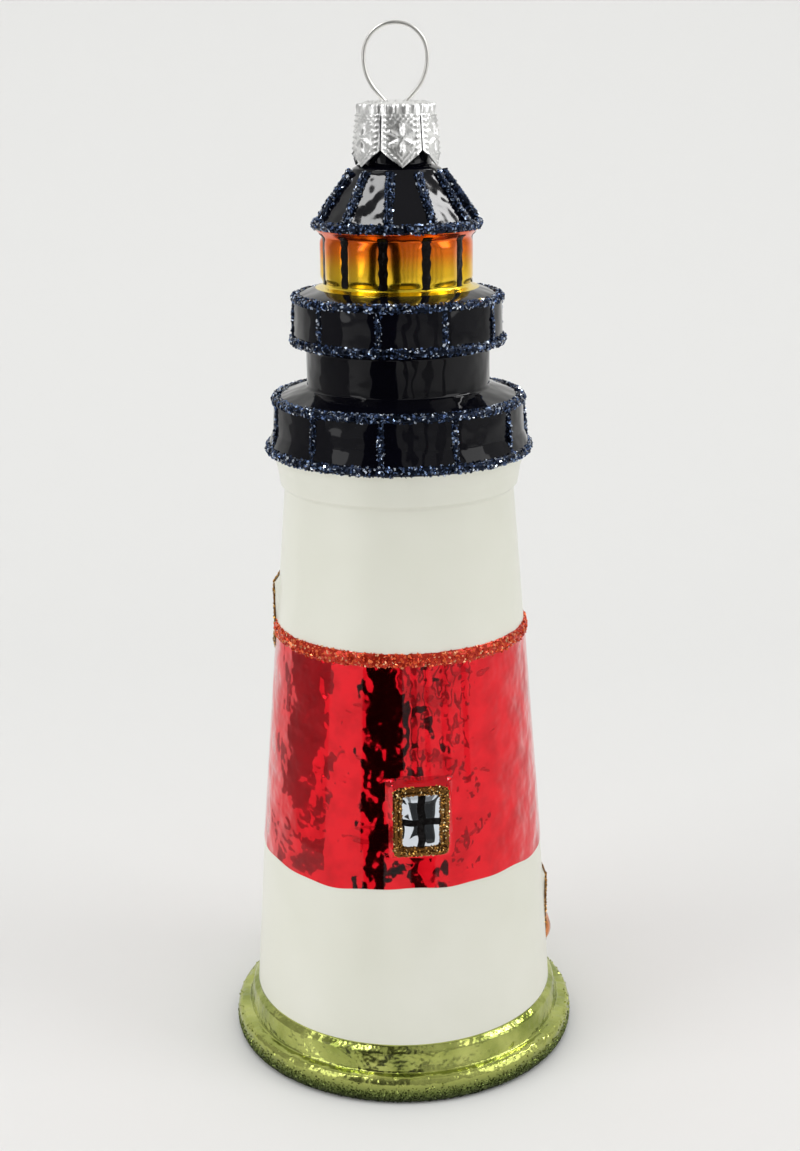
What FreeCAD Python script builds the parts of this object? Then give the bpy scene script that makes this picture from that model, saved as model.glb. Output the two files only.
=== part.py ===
import FreeCAD, Part
import math
import os
import Sketcher

# A mouth-blown glass lighthouse that hangs on a tree or stands on its foot.
# Millimetres, +Z up, origin at the centre of the foot on the surface that it stands on.
# An azimuth is in degrees, 0 at the front (-Y) and growing to the right (+X).
#
# The glass is one blown piece. Everything on it is a layer, and each layer is
# cut from a skin that lies one thickness further out:
#   cavity -> silver film -> glass -> lacquer or paint -> glitter
# A pressed metal cap sits on the open neck, and a wire hanger with two spring
# legs goes through the cap into the neck.

SIZES = [
    # layers
    ("glass_wall", 1.0, "thickness of the blown glass"),
    ("silver_film", 0.15, "mirror film inside the glass, thicker than life"),
    ("lacquer", 0.15, "coat of coloured lacquer"),
    ("glitter", 0.45, "how far a glued glitter line stands up"),
    # foot and base
    ("foot_inner_radius", 20.0, "inner edge of the flat ring it stands on"),
    ("foot_dish", 1.2, "height of the hollow under the foot"),
    ("rim_radius", 30.0, "outside of the grassy rim"),
    ("rim_height", 4.6, "height of the rim"),
    ("rim_round", 2.0, "rounding of the rim"),
    ("riser_radius", 27.9, "foot of the step"),
    ("step_radius", 27.1, "top edge of the step"),
    ("step_height", 3.4, "height of the step above the rim"),
    ("step_slope", 0.7, "rise of the step's top towards the tower"),
    # tower
    ("shaft_foot_radius", 26.2, "tower radius above the step"),
    ("belly_radius", 24.4, "tower radius where its slope changes"),
    ("belly_height", 27.0, "height of that change above the step"),
    ("shaft_top_radius", 19.05, "tower radius under the cornice"),
    ("shaft_height", 92.2, "from the step to the cornice"),
    ("cornice_foot_radius", 19.75, "lower edge of the cornice"),
    ("cornice_radius", 20.9, "top of the cornice"),
    ("cornice_height", 5.9, "height of the cornice"),
    # lower gallery and the drum on it
    ("lower_lip_radius", 21.55, "flared lip at the bottom of the lower gallery"),
    ("lower_lip_height", 1.2, "height of that lip"),
    ("lower_flare_height", 2.4, "height of the flare over the lip"),
    ("lower_wall_radius", 20.75, "lower gallery wall above the flare"),
    ("lower_top_radius", 20.5, "lower gallery at its deck edge"),
    ("lower_wall_height", 5.3, "lower gallery wall above the flare"),
    ("lower_deck_rise", 1.9, "rise of the lower deck towards the drum"),
    ("drum_radius", 14.95, "drum between the galleries"),
    ("drum_height", 6.7, "height of that drum"),
    # upper gallery, lantern and roof
    ("upper_soffit_rise", 0.4, "slope of the upper gallery's underside"),
    ("upper_foot_radius", 17.1, "upper gallery at its lower edge"),
    ("upper_top_radius", 16.9, "upper gallery at its deck edge"),
    ("upper_wall_height", 7.5, "height of the upper gallery wall"),
    ("upper_deck_rise", 1.9, "rise of the upper deck towards the lantern"),
    ("deck_round", 0.8, "rounding of the deck edges"),
    ("cove", 0.8, "rounding where a wall meets a deck"),
    ("lantern_core_radius", 11.8, "lantern between its panes"),
    ("lantern_height", 7.8, "height of the lantern"),
    ("pane_count", 11, "panes round the lantern"),
    ("pane_curve", 6.8, "radius of one bulging pane"),
    ("pane_offset", 5.6, "centre of that radius, from the axis"),
    ("pane_turn", 5.8, "azimuth of one pane's middle"),
    ("bar_width", 1.3, "black bar between two panes"),
    ("eave_radius", 13.1, "edge of the roof"),
    ("eave_soffit_rise", 1.2, "slope under the eave"),
    ("eave_height", 0.9, "thickness of the eave"),
    ("roof_top_radius", 7.15, "ridge radius of the roof at the neck"),
    ("roof_height", 8.4, "height of the roof above the eave"),
    ("rib_count", 11, "ridges of the roof"),
    ("rib_turn", 9.9, "azimuth of one facet's middle"),
    # neck
    ("neck_radius", 5.4, "outside of the open neck"),
    ("neck_height", 9.9, "height of the neck above the roof"),
    ("neck_round", 0.45, "melted rim of the neck"),
    # windows and door, raised in the glass
    ("relief_proud", 0.5, "how far a plumb frame stands out at its bottom"),
    ("relief_depth", 3.0, "depth of the bevelled block behind a frame"),
    ("relief_bevel", 1.3, "how much wider that block is at its back"),
    ("frame_border", 1.55, "width of a glitter frame"),
    ("muntin_width", 0.9, "painted glazing bar"),
    ("front_azimuth", 7.2, "front window"),
    ("front_bottom", 43.0, "bottom of the front window"),
    ("front_width", 9.3, "width of the front window's frame"),
    ("front_height", 12.2, "height of the front window's frame"),
    ("side_azimuth", -97.0, "left window"),
    ("side_bottom", 70.2, "bottom of the left window"),
    ("side_width", 9.0, "width of the left window's frame"),
    ("side_height", 12.4, "height of the left window's frame"),
    ("door_azimuth", 97.0, "door"),
    ("door_bottom", 12.8, "bottom of the door"),
    ("door_width", 9.6, "width of the door frame"),
    ("door_height", 14.4, "height of the door frame"),
    ("sill_proud", 1.1, "how far a sill or doorstep stands out"),
    ("sill_height", 4.2, "height of a sill or doorstep"),
    ("sill_lip", 1.2, "height of the sill's widest line above its foot"),
    # where the colours change
    ("green_top", 0.35, "green above the step's top"),
    ("red_bottom", 37.0, "lower edge of the red band"),
    ("red_top", 75.4, "upper edge of the red band"),
    ("amber_spill", 0.9, "yellow below the lantern's foot"),
    ("black_neck", 3.6, "black lacquer up the neck"),
    ("silver_stop", 1.0, "silver film ends this far below the neck"),
    ("foot_bare", 0.35, "bare glass above the surface it stands on"),
    # glitter lines
    ("red_line_height", 2.2, "glitter line over the red band"),
    ("rail_depth", 1.0, "glitter on the deck beside an edge"),
    ("rail_height", 1.25, "glitter on the wall below a deck edge"),
    ("edge_height", 1.35, "glitter line at the foot of a gallery"),
    ("eave_line_depth", 0.9, "glitter on the roof above the eave"),
    ("rib_width", 1.5, "glitter line on a roof ridge"),
    ("rib_gap", 1.3, "ridge line ends this far below the roof's top"),
    ("post_width", 1.25, "glitter post of a gallery"),
    ("upper_post_count", 10, "posts of the upper gallery"),
    ("upper_post_turn", -10.4, "azimuth of one upper post"),
    ("lower_post_count", 11, "posts of the lower gallery"),
    ("lower_post_turn", -7.7, "azimuth of one lower post"),
    ("rim_line_height", 3.0, "glitter round the rim"),
    # cap
    ("cap_sheet", 0.3, "sheet metal of the cap"),
    ("cap_top_radius", 6.1, "cap just under its rounded top edge"),
    ("cap_dome", 0.35, "how much the cap's top bulges"),
    ("cap_flat_radius", 4.3, "the flat seat of the cap starts here"),
    ("cap_foot_radius", 7.0, "spread of the cap at its points"),
    ("cap_round", 0.9, "rounding of the cap's top edge"),
    ("petal_count", 6, "petals of the cap"),
    ("petal_turn", 8.0, "azimuth of one petal's middle"),
    ("petal_length", 9.75, "cap height from its top to a petal's point"),
    ("petal_point", 2.6, "height of a petal's pointed end"),
    ("petal_slit", 0.25, "slit between two petals"),
    ("slit_stop", 1.6, "the slits end this far below the cap's top"),
    ("hole_spacing", 2.9, "distance between the two hanger holes"),
    ("hole_radius", 0.6, "hanger hole"),
    # hanger
    ("wire_diameter", 0.65, "hanger wire"),
    ("loop_width", 10.0, "loop between wire centres"),
    ("loop_height", 12.1, "loop above the cap, to the wire's centre"),
    ("loop_shoulder", 3.9, "height of the loop's lower bend"),
    ("loop_top_round", 4.9, "bend at the top of the loop"),
    ("loop_side_round", 7.5, "bend at the lower side of the loop"),
    ("leg_bend", 1.1, "bend where the wire enters the cap"),
    ("leg_length", 14.6, "spring leg below the cap"),
    ("leg_spread", 7.2, "distance between the tips of the legs"),
]

doc = FreeCAD.newDocument("GlassLighthouse")
sheet = doc.addObject("Spreadsheet::Sheet", "Sizes")
for row, (alias, value, meaning) in enumerate(SIZES, start=1):
    sheet.set(f"A{row}", meaning)
    sheet.set(f"B{row}", str(value))
    sheet.setAlias(f"B{row}", alias)
doc.recompute()

Z_AXIS = FreeCAD.Vector(0, 0, 1)
FAR = 60.0  # past the outside of the object
NEAR = 5.0  # where the radial cutters start, clear of one another


# ---------------------------------------------------------------- expressions
def cell(alias):
    """The expression that reads one driving dimension."""
    return f"Sizes.{alias}"


def total(*aliases):
    """The expression for a sum of driving dimensions."""
    return "(" + " + ".join(cell(a) for a in aliases) + ")"


def worth(expression):
    """The number that an expression has now."""
    value = sheet.evalExpression(str(expression))
    return float(getattr(value, "Value", value))


def bind(thing, **expressions):
    """Binds properties to expressions. Two underscores in a name stand for a dot."""
    for name, expression in expressions.items():
        thing.setExpression(name.replace("__", "."), str(expression))
    return thing


# Heights of the edges of the outside of the glass, from the foot up.
STEP = total("rim_height", "step_height")
SHAFT_FOOT = f"({STEP} + {cell('step_slope')})"
BELLY = f"({STEP} + {cell('belly_height')})"
SHAFT_TOP = f"({STEP} + {cell('shaft_height')})"
CORNICE_FOOT = f"({SHAFT_TOP} + 0.6)"
SOFFIT = f"({SHAFT_TOP} + {cell('cornice_height')})"
LIP = f"({SOFFIT} + {cell('lower_lip_height')})"
FLARE = f"({LIP} + {cell('lower_flare_height')})"
LOWER_DECK = f"({FLARE} + {cell('lower_wall_height')})"
DRUM_FOOT = f"({LOWER_DECK} + {cell('lower_deck_rise')})"
DRUM_TOP = f"({DRUM_FOOT} + {cell('drum_height')})"
UPPER_FOOT = f"({DRUM_TOP} + {cell('upper_soffit_rise')})"
UPPER_DECK = f"({UPPER_FOOT} + {cell('upper_wall_height')})"
LANTERN_FOOT = f"({UPPER_DECK} + {cell('upper_deck_rise')})"
LANTERN_TOP = f"({LANTERN_FOOT} + {cell('lantern_height')})"
EAVE = f"({LANTERN_TOP} + {cell('eave_soffit_rise')})"
EAVE_TOP = f"({EAVE} + {cell('eave_height')})"
ROOF_TOP = f"({EAVE_TOP} + {cell('roof_height')})"
NECK_TOP = f"({ROOF_TOP} + {cell('neck_height')})"
CAP_TOP = f"({NECK_TOP} + {cell('cap_sheet')})"


# ------------------------------------------------------------------- helpers
def turned(azimuth, x=0, y=0, z=0, roll=0):
    """The placement expression for a spot in front of the axis, turned to an azimuth."""
    turn = f"placement(vector(0; 0; 0); rotation({azimuth}; 0; 0))"
    return f"{turn} * placement(vector({x}; {y}; {z}); rotation(0; 0; {roll}))"


def outline(name, corners, grow=0, on_axis=True):
    """A closed sketch through corners, moved out of the body by the expression grow.

    A corner is (across, up, rounding): expressions, with None for a sharp corner.
    On the axis, the first and last corners stay on it. The sketch lies in XZ.
    """
    spots = [FreeCAD.Vector(worth(x), worth(y), 0) for x, y, _ in corners]
    count = len(spots)
    edges = [(spots[(i + 1) % count] - spots[i]).normalize() for i in range(count)]
    sketch = doc.addObject("Sketcher::SketchObject", name)
    sketch.Placement = FreeCAD.Placement(FreeCAD.Vector(), FreeCAD.Rotation(0, 0, 90))

    moved = []
    for i, (x, y, _) in enumerate(corners):
        before = FreeCAD.Vector(edges[i - 1].y, -edges[i - 1].x, 0)
        after = FreeCAD.Vector(edges[i].y, -edges[i].x, 0)
        out = (before + after) / (1 + before.dot(after))
        if on_axis and i in (0, count - 1):
            out = FreeCAD.Vector(0, 1 if i else -1, 0)
        moved.append((f"{x} + {out.x:.5f} * ({grow})", f"{y} + {out.y:.5f} * ({grow})"))
    drawn = [FreeCAD.Vector(worth(x), worth(y), 0) for x, y in moved]
    sketch.addGeometry([Part.LineSegment(drawn[i], drawn[(i + 1) % count]) for i in range(count)])

    constraints = []
    bound = []
    for i in range(count):
        constraints.append(Sketcher.Constraint("Coincident", i - 1 if i else count - 1, 2, i, 1))
        for direction, value, expression in zip(("DistanceX", "DistanceY"), drawn[i], moved[i]):
            if on_axis and direction == "DistanceX" and i in (0, count - 1):
                constraints.append(Sketcher.Constraint("PointOnObject", i, 1, -2))
                continue
            constraints.append(Sketcher.Constraint(direction, -1, 1, i, 1, value))
            bound.append((len(constraints) - 1, expression))
    sketch.addConstraint(constraints)
    for index, expression in bound:
        sketch.renameConstraint(index, f"corner{index}")
        sketch.setExpression(f"Constraints.corner{index}", expression)

    for i, (_, _, rounding) in enumerate(corners):
        if rounding is None:
            continue
        convex = edges[i - 1].cross(edges[i]).z > 0
        radius = f"{rounding} {'+' if convex else '-'} ({grow})"
        if worth(radius) > 0.04:
            arc = sketch.GeometryCount
            sketch.fillet(i, 1, worth(radius), True, True)
            arcs = [g for g in range(arc, sketch.GeometryCount)
                    if sketch.Geometry[g].TypeId == "Part::GeomArcOfCircle"]
            index = sketch.addConstraint(Sketcher.Constraint("Radius", arcs[0], worth(radius)))
            sketch.renameConstraint(index, f"rounding{i}")
            sketch.setExpression(f"Constraints.rounding{i}", radius)
    return sketch


def revolved(name, sketch):
    """A full turn of a sketch about the axis."""
    turn = doc.addObject("Part::Revolution", name)
    turn.Source = sketch
    turn.Axis = Z_AXIS
    turn.Angle = 360
    turn.Solid = True
    return turn


def plate(name, azimuth, corners, near, far, middle=0):
    """An outline seen from outside, as a prism between two distances from the axis."""
    sketch = outline(f"{name}_sketch", corners, on_axis=False)
    bind(sketch, Placement=turned(azimuth, middle, f"-({near})", 0, 90))
    prism = doc.addObject("Part::Extrusion", name)
    prism.Base = sketch
    prism.DirMode = "Normal"
    prism.Solid = True
    return bind(prism, LengthFwd=f"({far}) - ({near})")


def upright(width, bottom, top, rounding=None):
    """The corners of a rectangle centred across."""
    half = f"({width}) / 2"
    return [(f"-{half}", bottom, rounding), (half, bottom, rounding),
            (half, top, rounding), (f"-{half}", top, rounding)]


def slab(name, azimuth, width, bottom, top):
    """A radial cutter: an upright board from near the axis to beyond the object."""
    board = doc.addObject("Part::Box", name)
    half = f"({width}) / 2"
    bind(board, Length=width, Width=FAR - NEAR, Height=f"({top}) - ({bottom})")
    return bind(board, Placement=turned(azimuth, f"-{half}", -FAR, bottom))


def around(name, count, first, make):
    """Copies made by make(name, azimuth) at equal steps round the axis."""
    turns = [f"{first} + {k} * 360 / {cell(count)}" for k in range(round(worth(cell(count))))]
    ring = doc.addObject("Part::Compound", name)
    ring.Links = [make(f"{name}_{k}", turn) for k, turn in enumerate(turns)]
    return ring


def layer(name, bottom, top, inner=0):
    """A zone of the whole height range, or a ring of it outside an inner radius."""
    disc = doc.addObject("Part::Cylinder", f"{name}_zone")
    bind(disc, Radius=FAR, Height=f"({top}) - ({bottom})", Placement__Base__z=bottom)
    if inner == 0:
        return disc
    hole = doc.addObject("Part::Cylinder", f"{name}_hole")
    bind(hole, Radius=inner, Height=f"({top}) - ({bottom})", Placement__Base__z=bottom)
    return cut(f"{name}_ring", disc, hole)


def cut(name, base, tool):
    """One shape without another."""
    result = doc.addObject("Part::Cut", name)
    result.Base = base
    result.Tool = tool
    return result


def fused(name, *shapes):
    """Several shapes as one."""
    result = doc.addObject("Part::MultiFuse", name)
    result.Shapes = list(shapes)
    return result


def common(name, *shapes):
    """What several shapes share."""
    result = doc.addObject("Part::MultiCommon", name)
    result.Shapes = list(shapes)
    return result


# ------------------------------------------------- the shape of the blown glass
def shaft_at(height):
    """The tower's radius at a height, as an expression."""
    low = f"({cell('belly_radius')} + ({BELLY} - {height}) / ({BELLY} - {SHAFT_FOOT})"
    low += f" * ({cell('shaft_foot_radius')} - {cell('belly_radius')}))"
    high = f"({cell('belly_radius')} - ({height} - {BELLY}) / ({SHAFT_TOP} - {BELLY})"
    high += f" * ({cell('belly_radius')} - {cell('shaft_top_radius')}))"
    return f"({height} < {BELLY} ? {low} : {high})"


RIDGE_TO_FLAT = f"cos(180 / {cell('rib_count')})"

# Corners from the foot up: across, up, rounding, and whether the inside of the
# glass has the corner too. The inside is softer than the outside.
PROFILE = [
    (0, cell("foot_dish"), None, True),
    (cell("foot_inner_radius"), 0, None, True),
    (cell("rim_radius"), 0, cell("rim_round"), True),
    (cell("rim_radius"), cell("rim_height"), 1.4, True),
    (cell("riser_radius"), cell("rim_height"), 0.6, True),
    (cell("step_radius"), STEP, 0.6, True),
    (cell("shaft_foot_radius"), SHAFT_FOOT, 0.45, True),
    (cell("belly_radius"), BELLY, None, True),
    (cell("shaft_top_radius"), SHAFT_TOP, 0.5, True),
    (cell("cornice_foot_radius"), CORNICE_FOOT, 0.4, True),
    (cell("cornice_radius"), SOFFIT, None, False),
    (cell("lower_lip_radius"), SOFFIT, 0.3, False),
    (cell("lower_lip_radius"), LIP, 0.5, True),
    (cell("lower_wall_radius"), FLARE, 2.0, True),
    (cell("lower_top_radius"), LOWER_DECK, cell("deck_round"), True),
    (cell("drum_radius"), DRUM_FOOT, cell("cove"), True),
    (cell("drum_radius"), DRUM_TOP, cell("cove"), True),
    (cell("upper_foot_radius"), UPPER_FOOT, 0.5, True),
    (cell("upper_top_radius"), UPPER_DECK, cell("deck_round"), True),
    (cell("lantern_core_radius"), LANTERN_FOOT, cell("cove"), True),
    (cell("lantern_core_radius"), LANTERN_TOP, cell("cove"), True),
    (cell("eave_radius"), EAVE, 0.3, True),
    (cell("eave_radius"), EAVE_TOP, 0.3, False),
    (f"({cell('eave_radius')} * {RIDGE_TO_FLAT} - 0.2)", EAVE_TOP, None, False),
    (f"({cell('roof_top_radius')} * {RIDGE_TO_FLAT} - 0.2)", ROOF_TOP, None, True),
    (cell("neck_radius"), f"({ROOF_TOP} + 0.8)", None, True),
]


def window_block(name, spot, grow):
    """The plumb, bevelled block of a window or door."""
    azimuth, width, bottom, height = (cell(f"{spot}_{part}")
                                      for part in ("azimuth", "width", "bottom", "height"))
    face = f"({shaft_at(bottom)} + {cell('relief_proud')})"
    sections = []
    for end, depth, wider in (("face", 0, 0), ("back", cell("relief_depth"), cell("relief_bevel"))):
        corners = upright(f"{width} + 2 * {wider}", f"({bottom} - {wider})", f"({bottom} + {height} + {wider})")
        sketch = outline(f"{name}_{end}", corners, grow, on_axis=False)
        bind(sketch, Placement=turned(azimuth, 0, f"-({face} + {grow} - {depth})", 0, 90))
        sections.append(sketch)
    block = doc.addObject("Part::Loft", name)
    block.Sections = sections
    block.Solid = True
    block.Ruled = True
    return block


def window_sill(name, spot, grow):
    """The sill or doorstep under a window or door."""
    bottom = cell(f"{spot}_bottom")
    face = f"({shaft_at(bottom)} + {cell('relief_proud')})"
    back = f"({face} - {cell('relief_depth')})"
    top = f"({bottom} + {cell('sill_height')})"
    corners = [(back, f"({bottom} - 1)", None),
               (f"({face} + {cell('sill_proud')})", f"({bottom} + {cell('sill_lip')})", 0.6),
               (f"({face} + 0.1)", top, None), (back, top, None)]
    sketch = outline(f"{name}_sketch", corners, grow, on_axis=False)
    bind(sketch, Placement=turned(f"{cell(f'{spot}_azimuth')} - 90", 0, 0, 0, 90))
    sill = doc.addObject("Part::Extrusion", name)
    sill.Base = sketch
    sill.DirMode = "Normal"
    sill.Symmetric = True
    sill.Solid = True
    return bind(sill, LengthFwd=f"{cell(f'{spot}_width')} + 1 + 2 * ({grow})")


def form(name, grow, inside=False):
    """The glass filled solid, moved out by the expression grow."""
    corners = [corner[:3] for corner in PROFILE if corner[3] or not inside]
    above = 2 if inside else 0
    corners.append((cell("neck_radius"), f"({NECK_TOP} + {above})", None if inside else cell("neck_round")))
    corners.append((0, f"({NECK_TOP} + {above})", None))
    pieces = [revolved(f"{name}_core", outline(f"{name}_outline", corners, grow))]
    for k in range(round(worth(cell("pane_count")))):
        pane = doc.addObject("Part::Cylinder", f"{name}_pane{k}")
        azimuth = f"{cell('pane_turn')} + {k} * 360 / {cell('pane_count')}"
        bind(pane, Radius=f"{cell('pane_curve')} + {grow}",
             Height=f"{cell('lantern_height')} + {cell('upper_deck_rise')} / 2 + 0.6",
             Placement=turned(azimuth, 0, f"-{cell('pane_offset')}",
                              f"{LANTERN_FOOT} - {cell('upper_deck_rise')} / 2"))
        pieces.append(pane)
    if not inside:
        pieces.append(faceted_roof(f"{name}_roof", grow))
    for spot in ("front", "side", "door"):
        pieces.append(window_block(f"{name}_{spot}", spot, grow))
    if not inside:
        pieces.append(window_sill(f"{name}_side_sill", "side", grow))
        pieces.append(window_sill(f"{name}_door_step", "door", grow))
    return fused(name, *pieces)


def faceted_roof(name, grow):
    """The roof's flat facets, as a loft between two polygons."""
    slope = (worth(cell("eave_radius")) - worth(cell("roof_top_radius"))) / worth(cell("roof_height"))
    flat = math.cos(math.pi / worth(cell("rib_count")))
    out = math.hypot(1, slope * flat) / flat - slope
    sections = []
    for end, radius, height in (("eave", "eave_radius", EAVE_TOP), ("top", "roof_top_radius", ROOF_TOP)):
        polygon = doc.addObject("Part::RegularPolygon", f"{name}_{end}")
        bind(polygon, Polygon=cell("rib_count"),
             Circumradius=f"{cell(radius)} - 0.05 + {out:.5f} * ({grow})",
             Placement=turned(f"{cell('rib_turn')} - 90 + 180 / {cell('rib_count')}", 0, 0,
                              f"{height} + {grow}"))
        sections.append(polygon)
    roof = doc.addObject("Part::Loft", name)
    roof.Sections = sections
    roof.Solid = True
    roof.Ruled = True
    return roof


outer = form("outer_form", 0)
inner = form("inner_form", f"-{cell('glass_wall')}", inside=True)
mirrored = form("mirrored_form", f"-({cell('glass_wall')} + {cell('silver_film')})", inside=True)
coated = form("coated_form", cell("lacquer"))
glittered = form("glittered_form", f"({cell('lacquer')} + {cell('glitter')})")

nodes = {}
nodes["glass_tower"] = cut("glass_tower", outer, inner)
silver_shell = cut("silver_shell", inner, mirrored)
silver_zone = layer("silver", 0, f"{NECK_TOP} - {cell('silver_stop')}")
nodes["silver_lining"] = common("silver_lining", silver_shell, silver_zone)

# ------------------------------------------------------ lacquer on the outside
coat = cut("coat", coated, outer)
GREEN_TOP = f"({SHAFT_FOOT} + {cell('green_top')})"
AMBER_FOOT = f"({LANTERN_FOOT} - {cell('amber_spill')})"
BLACK_TOP = f"({ROOF_TOP} + {cell('black_neck')})"


def opening(name, spot, border, rounding=None):
    """The prism of a window or door frame, or of what is inside its border."""
    bottom = f"{cell(f'{spot}_bottom')} + {border}"
    top = f"{cell(f'{spot}_bottom')} + {cell(f'{spot}_height')} - {border}"
    width = f"{cell(f'{spot}_width')} - 2 * {border}"
    return plate(name, cell(f"{spot}_azimuth"), upright(width, bottom, top, rounding), NEAR, FAR)


panes = {spot: opening(f"{spot}_pane", spot, cell("frame_border"), 1.2)
         for spot in ("front", "side", "door")}
frames = {spot: cut(f"{spot}_border", opening(f"{spot}_frame", spot, 0, 0.8), panes[spot])
          for spot in ("front", "side", "door")}

bars = around("bar_boards", "pane_count", f"{cell('pane_turn')} + 180 / {cell('pane_count')}",
              lambda name, turn: slab(name, turn, cell("bar_width"),
                                      f"{LANTERN_FOOT} - 0.1", f"{LANTERN_TOP} + 0.4"))

nodes["roof_black_lacquer"] = common("roof_black_lacquer", coat, layer("roof_black", EAVE, BLACK_TOP))
lantern_coat = common("lantern_coat", coat, layer("amber", AMBER_FOOT, EAVE))
nodes["lantern_bar_paint"] = common("lantern_bar_paint", lantern_coat, bars)
nodes["lantern_amber_lacquer"] = cut("lantern_amber_lacquer", lantern_coat, bars)
nodes["gallery_black_lacquer"] = common("gallery_black_lacquer", coat,
                                        layer("gallery_black", SOFFIT, AMBER_FOOT))
for name, bottom, top, spots in (
        ("upper_white_lacquer", cell("red_top"), SOFFIT, ("side",)),
        ("red_band_lacquer", cell("red_bottom"), cell("red_top"), ("front", "side")),
        ("lower_white_lacquer", GREEN_TOP, cell("red_bottom"), ("door",))):
    band = common(f"{name}_band", coat, layer(name, bottom, top))
    nodes[name] = cut(name, band, panes[spots[0]] if len(spots) == 1
                      else fused(f"{name}_panes", *(panes[spot] for spot in spots)))
nodes["base_green_lacquer"] = common("base_green_lacquer", coat,
                                     layer("green", cell("foot_bare"), GREEN_TOP,
                                           cell("foot_inner_radius")))
nodes["door_copper_lacquer"] = common("door_copper_lacquer", coat, panes["door"])


def muntins(name, spot):
    """The painted cross of a window."""
    middle = f"({cell(f'{spot}_bottom')} + {cell(f'{spot}_height')} / 2)"
    half = f"{cell('muntin_width')} / 2"
    post = slab(f"{name}_post", cell(f"{spot}_azimuth"), cell("muntin_width"),
                cell(f"{spot}_bottom"), f"{cell(f'{spot}_bottom')} + {cell(f'{spot}_height')}")
    rail = slab(f"{name}_rail", cell(f"{spot}_azimuth"), cell(f"{spot}_width"),
                f"{middle} - {half}", f"{middle} + {half}")
    return common(name, coat, panes[spot], fused(f"{name}_cross", post, rail))


nodes["front_window_muntins"] = muntins("front_window_muntins", "front")
nodes["side_window_muntins"] = muntins("side_window_muntins", "side")

# --------------------------------------------------------------- glued glitter
crust = cut("crust", glittered, coated)
RAIL_TOP = 3.0  # beyond the top of any rail
EAVE_LINE = f"({EAVE_TOP} + {cell('eave_line_depth')})"
RIB_TOP = f"({ROOF_TOP} - {cell('rib_gap')})"

ribs = around("rib_boards", "rib_count", f"{cell('rib_turn')} + 180 / {cell('rib_count')}",
              lambda name, turn: slab(name, turn, cell("rib_width"), EAVE_LINE, RIB_TOP))
nodes["roof_rib_glitter"] = common("roof_rib_glitter", crust, ribs)
nodes["eave_glitter"] = common("eave_glitter", crust, layer("eave", EAVE, EAVE_LINE))

for gallery, deck, top_radius, edge in (("upper", UPPER_DECK, "upper_top_radius", UPPER_FOOT),
                                        ("lower", LOWER_DECK, "lower_top_radius", f"({SOFFIT} + 0.1)")):
    rail_foot = f"({deck} - {cell('rail_height')})"
    edge_top = f"({edge} + {cell('edge_height')})"
    rail_zone = layer(f"{gallery}_rail", rail_foot, f"{deck} + {RAIL_TOP}",
                      f"{cell(top_radius)} - {cell('rail_depth')}")
    nodes[f"{gallery}_rail_glitter"] = common(f"{gallery}_rail_glitter", crust, rail_zone)
    edge_zone = layer(f"{gallery}_edge", edge, edge_top)
    nodes[f"{gallery}_edge_glitter"] = common(f"{gallery}_edge_glitter", crust, edge_zone)
    posts = around(f"{gallery}_post_boards", f"{gallery}_post_count", cell(f"{gallery}_post_turn"),
                   lambda name, turn: slab(name, turn, cell("post_width"), edge_top, rail_foot))
    nodes[f"{gallery}_post_glitter"] = common(f"{gallery}_post_glitter", crust, posts)

RED_LINE_FOOT = f"({cell('red_top')} - {cell('red_line_height')} / 2)"
red_line = layer("red_line", RED_LINE_FOOT, f"({RED_LINE_FOOT} + {cell('red_line_height')})")
side_whole = fused("side_whole", panes["side"], frames["side"])
nodes["red_band_glitter"] = cut("red_band_glitter", common("red_line_crust", crust, red_line), side_whole)
nodes["front_window_glitter"] = common("front_window_glitter", crust, frames["front"])
nodes["side_window_glitter"] = common("side_window_glitter", crust, frames["side"])
nodes["door_glitter"] = common("door_glitter", crust, frames["door"])
nodes["base_rim_glitter"] = common("base_rim_glitter", crust,
                                   layer("rim_line", cell("foot_bare"),
                                         f"({cell('foot_bare')} + {cell('rim_line_height')})",
                                         cell("foot_inner_radius")))


# ------------------------------------------------------------------ metal cap
def cap_sheet():
    """The cap before its slits: a drawn cup of thin sheet, open at the bottom."""
    gauge = cell("cap_sheet")
    tip = f"({CAP_TOP} - {cell('petal_length')})"
    corners = [
        (0, f"({CAP_TOP} + {cell('cap_dome')} - {gauge})", None),
        (cell("cap_flat_radius"), f"({CAP_TOP} - {gauge})", None),
        (f"({cell('cap_top_radius')} - {gauge})", f"({CAP_TOP} - {gauge})", f"({cell('cap_round')} - {gauge})"),
        (f"({cell('cap_foot_radius')} - {gauge})", tip, None),
        (cell("cap_foot_radius"), tip, None),
        (cell("cap_top_radius"), CAP_TOP, cell("cap_round")),
        (cell("cap_flat_radius"), CAP_TOP, None),
        (0, f"({CAP_TOP} + {cell('cap_dome')})", None),
    ]
    return revolved("cap_blank", outline("cap_outline", corners))


def hanger_hole(name, side):
    """One of the two holes for the wire."""
    hole = doc.addObject("Part::Cylinder", name)
    bind(hole, Radius=cell("hole_radius"), Height=cell("cap_sheet") + " * 6",
         Placement__Base__x=f"{side} * {cell('hole_spacing')} / 2",
         Placement__Base__z=f"{CAP_TOP} - {cell('cap_sheet')} * 3")
    return hole


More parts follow.
